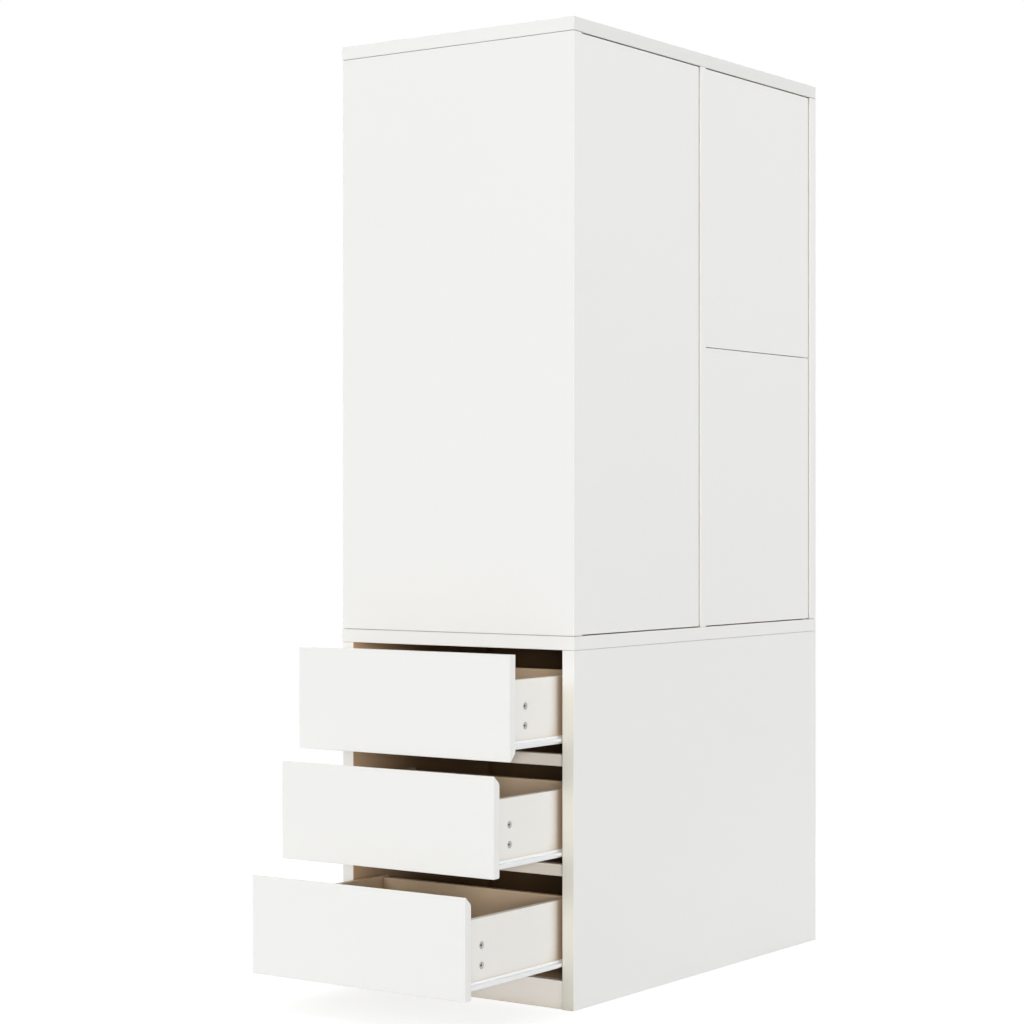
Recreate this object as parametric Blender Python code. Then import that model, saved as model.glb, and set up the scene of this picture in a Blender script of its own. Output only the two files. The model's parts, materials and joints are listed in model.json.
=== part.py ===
"""A free-standing wardrobe: two compartments behind inset doors, over a chest with three end drawers.

The doors are on the long face, towards -Y. The drawers open through the short face, towards -X,
and stand part open at rest. The origin is on the floor, under the middle of the carcass.
Shapes are worked out in distances from the drawer face (x), the door face (y) and the floor (z).
"""
import math

import bmesh
import bpy
from mathutils import Vector

# Carcass
HEIGHT = 2.000
WIDTH = 1.026
DEPTH = 0.596
BOARD = 0.028
LEFT_COMPARTMENT = 0.471
DIVIDER = 0.022
BASE_HEIGHT = 0.7525
SIDE_SHORT = 0.002
THIN_BOARD = 0.018
PLINTH_HEIGHT = 0.057
RAIL_HEIGHT = 0.024
RAIL_DROP = 0.0025
INSET = 0.004
EDGE = 0.0008
SHADOW_DEPTH = 0.0025
FOOT_SHADOW = 0.0012
HEAD_SHADOW = 0.0009

# Clearances
TOUCH = 0.0003
SWING = 0.001
RUN = 0.002

# Back panel and its grooves
BACK_PANEL = 0.005
BACK_MARGIN = 0.014
GROOVE_DEPTH = 0.008
GROOVE_SPARE = 0.0005

# Doors and their pivots
DOOR = 0.019
DOOR_GAP = 0.002
DOOR_TOP_GAP = 0.0015
DOOR_SEAM_GAP = 0.0012
PIVOT_FROM_EDGE = 0.010
PIVOT_FROM_FRONT = 0.006
PIN_RADIUS = 0.0025
PIN_IN_DOOR = 0.010
PIN_IN_PANEL = 0.012
COLLAR_RADIUS = 0.0045
PLATE_WIDTH = 0.018
PLATE_NOSE = 0.004
PLATE_IN_SHELF = 0.026

# Push latches
LATCH_WIDTH = 0.014
LATCH_LENGTH = 0.070
LATCH_TIP = 0.005
LATCH_FROM_SEAM = 0.060
PLUNGER_RADIUS = 0.004
PLUNGER_LENGTH = 0.055

# Hanging rail
RAIL_TUBE_HEIGHT = 0.030
RAIL_TUBE_WIDTH = 0.015
RAIL_TUBE_WALL = 0.0012
RAIL_TUBE_DROP = 0.085
SOCKET_WALL = 0.002
SOCKET_DEPTH = 0.012

# Drawers
FRONT = 0.021
TOP_FRONT_EXTRA = 0.010
FINGER_GAP = 0.023
FRONT_TOP_GAP = 0.0015
FRONT_SIDE_GAP = 0.0025
FRONT_PLINTH_GAP = 0.010
GRIP_LIP = 0.0035
GRIP_SLANT = 42.0
GRIP_CURVE = 0.0115
TOP_GRIP_LIP = 0.005
TOP_GRIP_SLANT = 46.0
TOP_GRIP_CURVE = 0.002
LIP_RADIUS = 0.003
HEEL_RADIUS = 0.0045
BEHIND_BOX = 0.072
BOX_BOARD = 0.014
BOX_DROP = 0.048
TOP_BOX_DROP = 0.0515
BOX_SHORTER = 0.065
BOX_BACK_DROP = 0.003
BOX_BACK_INSET = 0.007
BOX_BOTTOM = 0.005
BOX_BOTTOM_RISE = 0.012
BOX_GROOVE = 0.006
CAM_RADIUS = 0.0075
CAM_DEPTH = 0.0105
CAM_FROM_FRONT = 0.048
CAM_SPACING = 0.039
CAMS_BELOW_TOP = 0.0722
TAIL = 0.055
TOP_SHORT_OF_STOP = 0.159
MIDDLE_SHORT_OF_STOP = 0.105
BOTTOM_SHORT_OF_STOP = 0.011

# Drawer runners, white steel
RUNNER_SPACE = 0.0125
SHEET = 0.0012
MEMBER_HEIGHT = 0.0165
UNDER_FLANGE = 0.011
BAR_HEIGHT = 0.006
SIDE_PLAY = 0.0005

# Sides of a round shape, by its size
COARSE = 12
MEDIUM = 16
FINE = 24

# Surfaces: colour, roughness and metallic value
FINISHES = {
    "white_board": ((0.87, 0.87, 0.85), 0.45, 0.0),
    "inner_board": ((0.80, 0.77, 0.70), 0.55, 0.0),
    "thin_panel": ((0.78, 0.75, 0.68), 0.60, 0.0),
    "white_steel": ((0.84, 0.87, 0.89), 0.35, 0.0),
    "zinc": ((0.55, 0.55, 0.56), 0.35, 1.0),
    "chrome": ((0.75, 0.75, 0.76), 0.15, 1.0),
    "grey_plastic": ((0.62, 0.62, 0.61), 0.45, 0.0),
    "white_plastic": ((0.82, 0.82, 0.80), 0.40, 0.0),
}

# Places that follow from the sizes above
MIDDLE_UNDERSIDE = BASE_HEIGHT - BOARD
TOP_UNDERSIDE = HEIGHT - BOARD
SIDE_DEPTH = DEPTH - SIDE_SHORT
DIVIDER_LEFT = BOARD + LEFT_COMPARTMENT
DIVIDER_RIGHT = DIVIDER_LEFT + DIVIDER
RIGHT_INNER = WIDTH - BOARD
BACK_FRONT = SIDE_DEPTH - BACK_MARGIN - BACK_PANEL
INNER_BACK = BACK_FRONT - TOUCH
DOOR_BOTTOM = BASE_HEIGHT + DOOR_GAP
DOOR_TOP = TOP_UNDERSIDE - DOOR_TOP_GAP
SEAM = (DOOR_BOTTOM + DOOR_TOP) / 2
DOOR_BACK = INSET + DOOR
PIVOT_Y = INSET + PIVOT_FROM_FRONT
DOOR_SWEEP = math.hypot(PIVOT_FROM_EDGE, DOOR_BACK - PIVOT_Y)
BEHIND_DOORS = PIVOT_Y + DOOR_SWEEP + SWING
BAY_NEAR = BOARD
BAY_FAR = SIDE_DEPTH - BOARD
BOX_NEAR = BAY_NEAR + RUNNER_SPACE
BOX_FAR = BAY_FAR - RUNNER_SPACE
FRONTS_TOP = MIDDLE_UNDERSIDE - FRONT_TOP_GAP
FRONTS_BOTTOM = PLINTH_HEIGHT + FRONT_PLINTH_GAP
FRONT_HEIGHT = (FRONTS_TOP - FRONTS_BOTTOM - 2 * FINGER_GAP - TOP_FRONT_EXTRA) / 3
BOX_HEIGHT = FRONT_HEIGHT - BOX_SHORTER
BEHIND_FRONTS = INSET + FRONT + RUN
BOX_LENGTH = DIVIDER_LEFT - BEHIND_BOX - BEHIND_FRONTS
TRAVEL = BOX_LENGTH - TAIL

# Runner section: distances out from the box's side and up from its lower edge
WEB = TOUCH + SHEET
CHANNEL_WEB = RUNNER_SPACE - TOUCH - SHEET
BAR_LOW = (MEMBER_HEIGHT - BAR_HEIGHT) / 2 - WEB
BAR_HIGH = BAR_LOW + BAR_HEIGHT


def at(x, y, z):
    """A point in the part's frame, from its distances to the drawer face, door face and floor."""
    return Vector((x - WIDTH / 2, y - DEPTH / 2, z))


class Shape:
    """A closed solid, or the several solids of one cutter, gathered into one mesh."""

    def __init__(self):
        self.bm = bmesh.new()

    def prism(self, outline, sweep):
        """A solid swept from a flat closed outline."""
        near = [self.bm.verts.new(point) for point in outline]
        far = [self.bm.verts.new(point + sweep) for point in outline]
        self.bm.faces.new(near)
        self.bm.faces.new(far[::-1])
        for i, vert in enumerate(near):
            j = (i + 1) % len(near)
            self.bm.faces.new((near[j], vert, far[i], far[j]))
        return self

    def sleeve(self, outer, inner, sweep):
        """A tube between two outlines that have the same number of points."""
        rings = []
        for outline in (outer, inner):
            near = [self.bm.verts.new(point) for point in outline]
            far = [self.bm.verts.new(point + sweep) for point in outline]
            rings.append((near, far))
        (outer_near, outer_far), (inner_near, inner_far) = rings
        for i in range(len(outer)):
            j = (i + 1) % len(outer)
            self.bm.faces.new((outer_near[j], outer_near[i], outer_far[i], outer_far[j]))
            self.bm.faces.new((inner_near[i], inner_near[j], inner_far[j], inner_far[i]))
            self.bm.faces.new((outer_near[i], outer_near[j], inner_near[j], inner_near[i]))
            self.bm.faces.new((outer_far[j], outer_far[i], inner_far[i], inner_far[j]))
        return self

    def box(self, x, y, z):
        """A block between three pairs of planes."""
        corners = ((x[0], y[0]), (x[1], y[0]), (x[1], y[1]), (x[0], y[1]))
        outline = [at(px, py, z[0]) for px, py in corners]
        return self.prism(outline, Vector((0, 0, z[1] - z[0])))

    def rod(self, start, end, radius, sides=MEDIUM):
        """A round bar between two points."""
        sweep = end - start
        return self.prism(ring(start, sweep, radius, sides), sweep)

    def turned(self, start, direction, profile, sides=MEDIUM):
        """A turned solid: its profile runs from the axis to the axis as (radius, distance) pairs."""
        rings = []
        for radius, distance in profile:
            centre = start + direction * distance
            if radius == 0:
                rings.append([self.bm.verts.new(centre)])
            else:
                rings.append([self.bm.verts.new(p) for p in ring(centre, direction, radius, sides)])
        for low, high in zip(rings, rings[1:]):
            for i in range(sides):
                j = (i + 1) % sides
                corners = [low[i % len(low)], low[j % len(low)], high[j % len(high)], high[i % len(high)]]
                self.bm.faces.new(list(dict.fromkeys(corners)))
        return self


def arc(centre, radius, start, end, steps=4):
    """Points along part of a circle in a flat outline, between two angles in degrees."""
    points = []
    for step in range(steps + 1):
        turn = math.radians(start + (end - start) * step / steps)
        points.append((centre[0] + radius * math.cos(turn), centre[1] + radius * math.sin(turn)))
    return points


def ring(centre, axis, radius, sides):
    """Points round a circle that is square to an axis."""
    axis = axis.normalized()
    first = axis.orthogonal().normalized()
    second = axis.cross(first)
    points = []
    for i in range(sides):
        turn = 2 * math.pi * (i + 0.5) / sides
        points.append(centre + first * radius * math.cos(turn) + second * radius * math.sin(turn))
    return points


def stadium(centre, width, height, sides=MEDIUM):
    """An upright oval outline across the hanging rail."""
    points = []
    radius = width / 2
    for i in range(sides):
        turn = 2 * math.pi * (i + 0.5) / sides
        lift = math.copysign(height / 2 - radius, math.sin(turn))
        offset = Vector((0, radius * math.cos(turn), radius * math.sin(turn) + lift))
        points.append(centre + offset)
    return points


def paint(piece, finish):
    """Give a piece its own material."""
    colour, roughness, metallic = FINISHES[finish]
    material = bpy.data.materials.new(piece.name)
    material.use_nodes = True
    shader = material.node_tree.nodes["Principled BSDF"]
    shader.inputs["Base Color"].default_value = (*colour, 1.0)
    shader.inputs["Roughness"].default_value = roughness
    shader.inputs["Metallic"].default_value = metallic
    material.diffuse_color = (*colour, 1.0)
    piece.data.materials.append(material)


def placed(item):
    """Where an object's origin lies in the part's frame."""
    place = item.location.copy()
    while item.parent is not None:
        item = item.parent
        place += item.location
    return place


def add(name, shape, finish, body=None, edge=0.0):
    """Make an object of a shape. A moving piece hangs on the empty that marks its joint."""
    bm = shape.bm
    bmesh.ops.recalc_face_normals(bm, faces=bm.faces)
    if body is None:
        low = Vector([min(v.co[k] for v in bm.verts) for k in range(3)])
        high = Vector([max(v.co[k] for v in bm.verts) for k in range(3)])
        origin = (low + high) / 2
    else:
        origin = placed(body)
    bmesh.ops.translate(bm, verts=bm.verts, vec=-origin)
    mesh = bpy.data.meshes.new(name)
    bm.to_mesh(mesh)
    bm.free()
    mesh.shade_smooth()
    mesh.set_sharp_from_angle(angle=math.radians(35))
    piece = bpy.data.objects.new(name, mesh)
    bpy.context.scene.collection.objects.link(piece)
    if body is None:
        piece.location = origin
    else:
        piece.parent = body
    paint(piece, finish)
    if edge > 0:
        bevel = piece.modifiers.new("eased edges", "BEVEL")
        bevel.width = edge
        bevel.segments = 2
        bevel.limit_method = "ANGLE"
        bevel.angle_limit = math.radians(40)
        bevel.harden_normals = True
    return piece


def cut(piece, shape):
    """Take a shape away from a piece."""
    combine(piece, shape, "DIFFERENCE")


def join(piece, shape):
    """Make a shape one with a piece."""
    combine(piece, shape, "UNION")


def combine(piece, shape, operation):
    """Add a Boolean to a piece, with its tool as a hidden object."""
    bm = shape.bm
    bmesh.ops.recalc_face_normals(bm, faces=bm.faces)
    bmesh.ops.translate(bm, verts=bm.verts, vec=-placed(piece))
    mesh = bpy.data.meshes.new(piece.name + "_tool")
    bm.to_mesh(mesh)
    bm.free()
    tool = bpy.data.objects.new(piece.name + "_tool", mesh)
    bpy.context.scene.collection.objects.link(tool)
    tool.parent = piece
    tool.hide_render = True
    tool.display_type = "WIRE"
    boolean = piece.modifiers.new("fit", "BOOLEAN")
    boolean.operation = operation
    boolean.solver = "EXACT"
    boolean.object = tool


def add_body(name, place, carrier=None):
    """An empty on a joint's axis, which carries the pieces that move with it."""
    empty = bpy.data.objects.new(name, None)
    empty.location = place
    if carrier is not None:
        empty.parent = carrier
        empty.location -= placed(carrier)
    bpy.context.scene.collection.objects.link(empty)
    return empty


# Upper carcass

def groove_span():
    """From front to back, the groove that holds the back panel."""
    return (BACK_FRONT - TOUCH, BACK_FRONT + BACK_PANEL + TOUCH)


def side_groove(face):
    """The groove for the back panel along the inner face of a side."""
    x = (face - GROOVE_DEPTH, face + GROOVE_DEPTH)
    return Shape().box(x, groove_span(), (MIDDLE_UNDERSIDE, HEIGHT))


def shadow_lines(outer, inward):
    """Shallow rebates round the foot and the head of an upper side, all but on its inner face."""
    past = BOARD + SHADOW_DEPTH
    back = SIDE_DEPTH - SHADOW_DEPTH
    plan = (
        (-SHADOW_DEPTH, -SHADOW_DEPTH), (past, -SHADOW_DEPTH), (past, SHADOW_DEPTH),
        (SHADOW_DEPTH, SHADOW_DEPTH), (SHADOW_DEPTH, back), (past, back),
        (past, SIDE_DEPTH + SHADOW_DEPTH), (-SHADOW_DEPTH, SIDE_DEPTH + SHADOW_DEPTH),
    )
    shape = Shape()
    for z, height in ((BASE_HEIGHT, FOOT_SHADOW), (TOP_UNDERSIDE, -HEAD_SHADOW)):
        outline = [at(outer + inward * across, y, z) for across, y in plan]
        shape.prism(outline, Vector((0, 0, height)))
    return shape


def make_upper_carcass():
    """The boards of the upper part, and the shelf behind the seam of the small doors."""
    board = Shape().box((0, WIDTH), (0, DEPTH), (TOP_UNDERSIDE, HEIGHT))
    top = add("top_panel", board, "white_board", edge=EDGE)
    x = (BOARD - GROOVE_DEPTH, RIGHT_INNER + GROOVE_DEPTH)
    cut(top, Shape().box(x, groove_span(), (TOP_UNDERSIDE - GROOVE_DEPTH, TOP_UNDERSIDE + GROOVE_DEPTH)))
    holes = Shape()
    for x, high in pin_places():
        if high:
            start = at(x, PIVOT_Y, TOP_UNDERSIDE - TOUCH)
            end = at(x, PIVOT_Y, TOP_UNDERSIDE + PIN_IN_PANEL + TOUCH)
            holes.rod(start, end, PIN_RADIUS + TOUCH, COARSE)
    cut(top, holes)
    z = (BASE_HEIGHT + TOUCH, TOP_UNDERSIDE - TOUCH)
    left = add("upper_side_left", Shape().box((0, BOARD), (0, SIDE_DEPTH), z), "white_board", edge=EDGE)
    cut(left, side_groove(BOARD))
    cut(left, shadow_lines(0, 1))
    board = Shape().box((RIGHT_INNER, WIDTH), (0, SIDE_DEPTH), z)
    right = add("upper_side_right", board, "white_board", edge=EDGE)
    cut(right, side_groove(RIGHT_INNER))
    cut(right, shadow_lines(WIDTH, -1))
    board = Shape().box((DIVIDER_LEFT, DIVIDER_RIGHT), (0, INNER_BACK), z)
    add("upper_divider", board, "white_board", edge=EDGE)
    x = (BOARD - GROOVE_DEPTH + GROOVE_SPARE, RIGHT_INNER + GROOVE_DEPTH - GROOVE_SPARE)
    z = (BASE_HEIGHT + TOUCH, TOP_UNDERSIDE + GROOVE_DEPTH - GROOVE_SPARE)
    add("upper_back_panel", Shape().box(x, (BACK_FRONT, BACK_FRONT + BACK_PANEL), z), "thin_panel")
    x = (DIVIDER_RIGHT + TOUCH, RIGHT_INNER - TOUCH)
    z = (SEAM - THIN_BOARD / 2, SEAM + THIN_BOARD / 2)
    shelf = add("fixed_shelf", Shape().box(x, (BEHIND_DOORS, INNER_BACK), z), "inner_board", edge=EDGE)
    x, y, z = plate_box()
    slot = Shape().box(
        (x[0] - TOUCH, x[1] + TOUCH), (BEHIND_DOORS - DOOR, y[1] + TOUCH), (z[0] - TOUCH, z[1] + TOUCH)
    )
    cut(shelf, slot)


def make_hanging_rail():
    """An oval tube across the left compartment, held in a socket at each end."""
    y = (BEHIND_DOORS + INNER_BACK) / 2
    z = TOP_UNDERSIDE - RAIL_TUBE_DROP
    start = BOARD + TOUCH + SOCKET_WALL + TOUCH
    end = DIVIDER_LEFT - TOUCH - SOCKET_WALL - TOUCH
    wall = 2 * RAIL_TUBE_WALL
    outer = stadium(at(start, y, z), RAIL_TUBE_WIDTH, RAIL_TUBE_HEIGHT)
    inner = stadium(at(start, y, z), RAIL_TUBE_WIDTH - wall, RAIL_TUBE_HEIGHT - wall)
    add("hanging_rail", Shape().sleeve(outer, inner, Vector((end - start, 0, 0))), "chrome")
    fit = 2 * TOUCH
    rim = 2 * (TOUCH + SOCKET_WALL)
    for name, face, facing in (("left", BOARD, 1), ("right", DIVIDER_LEFT, -1)):
        base = face + facing * TOUCH
        floor = base + facing * SOCKET_WALL
        reach = Vector((facing * SOCKET_DEPTH, 0, 0))
        cup = stadium(at(base, y, z), RAIL_TUBE_WIDTH + rim, RAIL_TUBE_HEIGHT + rim)
        hollow = stadium(at(floor, y, z), RAIL_TUBE_WIDTH + fit, RAIL_TUBE_HEIGHT + fit)
        socket = add("rail_socket_" + name, Shape().prism(cup, reach), "chrome")
        cut(socket, Shape().prism(hollow, reach))


# Doors, pivots and latches

def doors():
    """Each door's name, span, heights and the side its pivots are on, as +1 towards +X."""
    left = (BOARD + DOOR_GAP, DIVIDER_LEFT - DOOR_GAP)
    right = (DIVIDER_RIGHT + DOOR_GAP, RIGHT_INNER - DOOR_GAP)
    half = DOOR_SEAM_GAP / 2
    return (
        ("left_door", left, (DOOR_BOTTOM, DOOR_TOP), -1),
        ("upper_right_door", right, (SEAM + half, DOOR_TOP), 1),
        ("lower_right_door", right, (DOOR_BOTTOM, SEAM - half), 1),
    )


def pivot_x(side):
    """Where the pivots of the doors on one side stand."""
    if side < 0:
        return BOARD + DOOR_GAP + PIVOT_FROM_EDGE
    return RIGHT_INNER - DOOR_GAP - PIVOT_FROM_EDGE


def pin_places():
    """The pivot pins that stand in the top and middle panels: x, and whether each is at the top."""
    return [(pivot_x(side), high) for side in (-1, 1) for high in (True, False)]


def plate_box():
    """The plate between the small doors, which carries a pin up and a pin down."""
    x = (pivot_x(1) - PLATE_WIDTH / 2, pivot_x(1) + PLATE_WIDTH / 2)
    y = (PIVOT_Y - PLATE_NOSE, BEHIND_DOORS + PLATE_IN_SHELF)
    half = DOOR_SEAM_GAP / 2 - TOUCH
    return x, y, (SEAM - half, SEAM + half)


def make_doors():
    """The inset doors, each on an axis through its pivots."""
    for name, span, heights, side in doors():
        x = pivot_x(side)
        axis = add_body(name + "_axis", at(x, PIVOT_Y, heights[0]))
        panel = add(name, Shape().box(span, (INSET, DOOR_BACK), heights), "white_board", axis, EDGE)
        bores = Shape()
        for end, inward in ((heights[0], 1), (heights[1], -1)):
            start = at(x, PIVOT_Y, end - inward * TOUCH)
            stop = at(x, PIVOT_Y, end + inward * (PIN_IN_DOOR + TOUCH))
            bores.rod(start, stop, PIN_RADIUS + TOUCH, COARSE)
        cut(panel, bores)


def make_pivots():
    """Four pins with collars in the gaps above and below the doors, and the plate between them."""
    for x, high in pin_places():
        name = "pivot_pin_" + ("left" if x < DIVIDER_LEFT else "right") + ("_top" if high else "_bottom")
        panel = TOP_UNDERSIDE if high else BASE_HEIGHT
        towards = -1 if high else 1
        gap = DOOR_TOP_GAP if high else DOOR_GAP
        profile = [
            (0, -PIN_IN_PANEL), (PIN_RADIUS, -PIN_IN_PANEL), (PIN_RADIUS, TOUCH), (COLLAR_RADIUS, TOUCH),
            (COLLAR_RADIUS, gap - TOUCH), (PIN_RADIUS, gap - TOUCH), (PIN_RADIUS, gap + PIN_IN_DOOR),
            (0, gap + PIN_IN_DOOR),
        ]
        pin = Shape().turned(at(x, PIVOT_Y, panel), Vector((0, 0, towards)), profile, COARSE)
        add(name, pin, "zinc")
    x, y, z = plate_box()
    plate = add("pivot_plate_right_middle", Shape().box(x, y, z), "zinc")
    reach = DOOR_SEAM_GAP / 2 + PIN_IN_DOOR
    low = at(pivot_x(1), PIVOT_Y, SEAM - reach)
    high = at(pivot_x(1), PIVOT_Y, SEAM + reach)
    join(plate, Shape().rod(low, high, PIN_RADIUS, COARSE))


def make_latches():
    """A push latch for each door, on the divider, with its plunger against the door's back."""
    places = (
        ("left", DIVIDER_LEFT, -1, SEAM),
        ("upper_right", DIVIDER_RIGHT, 1, SEAM + LATCH_FROM_SEAM),
        ("lower_right", DIVIDER_RIGHT, 1, SEAM - LATCH_FROM_SEAM),
    )
    tip = DOOR_BACK + TOUCH
    front = tip + LATCH_TIP
    half = LATCH_WIDTH / 2
    for name, face, facing, z in places:
        near = face + facing * TOUCH
        x = near + facing * half
        sides = sorted((near, near + facing * LATCH_WIDTH))
        case = Shape().box(sides, (front, front + LATCH_LENGTH), (z - half, z + half))
        case = add(name + "_latch_case", case, "white_plastic", edge=EDGE)
        bore_end = at(x, tip + PLUNGER_LENGTH + TOUCH, z)
        cut(case, Shape().rod(at(x, tip, z), bore_end, PLUNGER_RADIUS + TOUCH))
        axis = add_body(name + "_plunger_axis", at(x, tip, z))
        profile = [
            (0, 0), (PLUNGER_RADIUS - EDGE, 0), (PLUNGER_RADIUS, EDGE), (PLUNGER_RADIUS, PLUNGER_LENGTH),
            (0, PLUNGER_LENGTH),
        ]
        plunger = Shape().turned(at(x, tip, z), Vector((0, 1, 0)), profile)
        add(name + "_latch_plunger", plunger, "grey_plastic", axis)


# Lower carcass

def make_lower_carcass():
    """The boards of the chest."""
    board = Shape().box((0, WIDTH), (0, DEPTH), (MIDDLE_UNDERSIDE, BASE_HEIGHT))
    middle = add("middle_panel", board, "white_board", edge=EDGE)
    holes = Shape()
    for x, high in pin_places():
        if not high:
            start = at(x, PIVOT_Y, BASE_HEIGHT - PIN_IN_PANEL - TOUCH)
            holes.rod(start, at(x, PIVOT_Y, BASE_HEIGHT + TOUCH), PIN_RADIUS + TOUCH, COARSE)
    cut(middle, holes)
    full = (0, MIDDLE_UNDERSIDE - TOUCH)
    across = (BAY_NEAR + TOUCH, BAY_FAR - TOUCH)
    boards = (
        ("lower_front_panel", (0, WIDTH), (0, BAY_NEAR), full, "white_board"),
        ("lower_back_panel", (0, WIDTH), (BAY_FAR, SIDE_DEPTH), full, "white_board"),
        ("lower_end_panel", (RIGHT_INNER, WIDTH), across, full, "white_board"),
        ("lower_partition", (DIVIDER_LEFT, DIVIDER_RIGHT), across, full, "inner_board"),
        ("plinth", (INSET, INSET + THIN_BOARD), across, (0, PLINTH_HEIGHT), "white_board"),
    )
    for name, x, y, z, finish in boards:
        add(name, Shape().box(x, y, z), finish, edge=EDGE)
    x = (INSET + THIN_BOARD + TOUCH, DIVIDER_LEFT - TOUCH)
    floor = Shape().box(x, across, (PLINTH_HEIGHT - THIN_BOARD, PLINTH_HEIGHT))
    add("drawer_bay_floor", floor, "inner_board", edge=EDGE)
    x = (BEHIND_FRONTS, BEHIND_FRONTS + THIN_BOARD)
    for name, below in (("upper", "middle"), ("lower", "bottom")):
        centre = front_span(below)[1] + FINGER_GAP / 2 - RAIL_DROP
        rail = Shape().box(x, across, (centre - RAIL_HEIGHT / 2, centre + RAIL_HEIGHT / 2))
        add("drawer_rail_" + name, rail, "white_board", edge=EDGE)


# Drawers and runners

DRAWERS = ("top", "middle", "bottom")


def front_span(name):
    """Lowest and highest point of a drawer's front."""
    place = DRAWERS.index(name)
    if place == 0:
        return (FRONTS_TOP - FRONT_HEIGHT - TOP_FRONT_EXTRA, FRONTS_TOP)
    top = FRONTS_TOP - TOP_FRONT_EXTRA - place * (FRONT_HEIGHT + FINGER_GAP)
    return (top - FRONT_HEIGHT, top)


def box_span(name):
    """Lowest and highest point of a drawer's sides."""
    top = front_span(name)[1] - (TOP_BOX_DROP if name == "top" else BOX_DROP)
    return (top - BOX_HEIGHT, top)


def pull(name):
    """How far a drawer stands open at rest."""
    left = {"top": TOP_SHORT_OF_STOP, "middle": MIDDLE_SHORT_OF_STOP, "bottom": BOTTOM_SHORT_OF_STOP}
    return TRAVEL - left[name]


def box_start(name):
    """Where a drawer's box meets its front."""
    return INSET - pull(name) + FRONT


def box_back(name):
    """From front to back, where a drawer's back board stands."""
    end = box_start(name) + BOX_LENGTH - BOX_BACK_INSET
    return (end - BOX_BOARD, end)


def grip(lip, slant, curve):
    """A finger grip: distances behind the front's face and in from its edge, from the face on."""
    turn = math.radians(slant)
    slant_end = FRONT - curve + curve * math.sin(turn)
    curve_end = (slant_end - lip) * math.tan(turn) + curve * math.cos(turn)
    lip_end = lip - LIP_RADIUS * math.tan(turn / 2)
    rounded_lip = arc((lip_end, LIP_RADIUS), LIP_RADIUS, -90, slant - 90)
    return [(0, 0)] + rounded_lip + arc((FRONT - curve, curve_end), curve, slant - 90, 0)


def front_outline(name):
    """Cross-section of a front: a grip along one edge, and a rounded heel on the lower fronts."""
    low, high = front_span(name)
    back = box_start(name)
    face = back - FRONT
    if name == "top":
        edge = grip(TOP_GRIP_LIP, TOP_GRIP_SLANT, TOP_GRIP_CURVE)
        points = [(face + behind, low + inwards) for behind, inwards in edge]
        points += [(back, high), (face, high)]
    else:
        edge = grip(GRIP_LIP, GRIP_SLANT, GRIP_CURVE)
        points = [(face + behind, high - inwards) for behind, inwards in edge]
        points += arc((back - HEEL_RADIUS, low + HEEL_RADIUS), HEEL_RADIUS, 0, -90)
        points.append((face, low))
    return [at(x, BAY_NEAR + FRONT_SIDE_GAP, z) for x, z in points]


def box_sides():
    """The drawer sides: name, outer face, inner face, and the way from the box to the cabinet."""
    return (
        ("near", BOX_NEAR, BOX_NEAR + BOX_BOARD, -1),
        ("far", BOX_FAR, BOX_FAR - BOX_BOARD, 1),
    )


def bottom_cutter(name):
    """The drawer's bottom with its clearance, which cuts the grooves that hold it."""
    low = box_span(name)[0] + BOX_BOTTOM_RISE
    x = (box_start(name) - BOX_GROOVE, box_back(name)[0] + BOX_GROOVE)
    y = (BOX_NEAR + BOX_BOARD - BOX_GROOVE, BOX_FAR - BOX_BOARD + BOX_GROOVE)
    return Shape().box(x, y, (low - TOUCH, low + BOX_BOTTOM + TOUCH))


def make_drawer(name, slide):
    """A drawer's front, sides, back and bottom."""
    low, high = box_span(name)
    start = box_start(name)
    end = start + BOX_LENGTH
    width = BAY_FAR - BAY_NEAR - 2 * FRONT_SIDE_GAP
    shape = Shape().prism(front_outline(name), Vector((0, width, 0)))
    front = add("drawer_front_" + name, shape, "white_board", slide, EDGE)
    cut(front, bottom_cutter(name))
    middle = high - CAMS_BELOW_TOP
    for side_name, outer, inner, outward in box_sides():
        board = Shape().box((start + TOUCH, end), sorted((outer, inner)), (low, high))
        side = add("drawer_side_" + side_name + "_" + name, board, "inner_board", slide, EDGE)
        cut(side, bottom_cutter(name))
        pockets = Shape()
        x = start + CAM_FROM_FRONT
        for z in (middle - CAM_SPACING / 2, middle + CAM_SPACING / 2):
            mouth = at(x, outer + outward * CAM_DEPTH, z)
            pockets.rod(mouth, at(x, outer - outward * CAM_DEPTH, z), CAM_RADIUS, FINE)
        cut(side, pockets)
    y = (BOX_NEAR + BOX_BOARD + TOUCH, BOX_FAR - BOX_BOARD - TOUCH)
    board = Shape().box(box_back(name), y, (low, high - BOX_BACK_DROP))
    back = add("drawer_back_" + name, board, "inner_board", slide, EDGE)
    cut(back, bottom_cutter(name))
    spare = BOX_GROOVE - GROOVE_SPARE
    x = (start - spare, box_back(name)[0] + spare)
    y = (BOX_NEAR + BOX_BOARD - spare, BOX_FAR - BOX_BOARD + spare)
    z = (low + BOX_BOTTOM_RISE, low + BOX_BOTTOM_RISE + BOX_BOTTOM)
    add("drawer_bottom_" + name, Shape().box(x, y, z), "thin_panel", slide)


def member_outline():
    """Cross-section of a drawer's runner member: web, sliding bar and foot under the box."""
    tip = CHANNEL_WEB - SIDE_PLAY
    top = MEMBER_HEIGHT - WEB
    return (
        (-UNDER_FLANGE, -WEB), (WEB, -WEB), (WEB, BAR_LOW), (tip, BAR_LOW), (tip, BAR_HIGH),
        (WEB, BAR_HIGH), (WEB, top), (TOUCH, top), (TOUCH, -TOUCH), (-UNDER_FLANGE, -TOUCH),
    )


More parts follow.
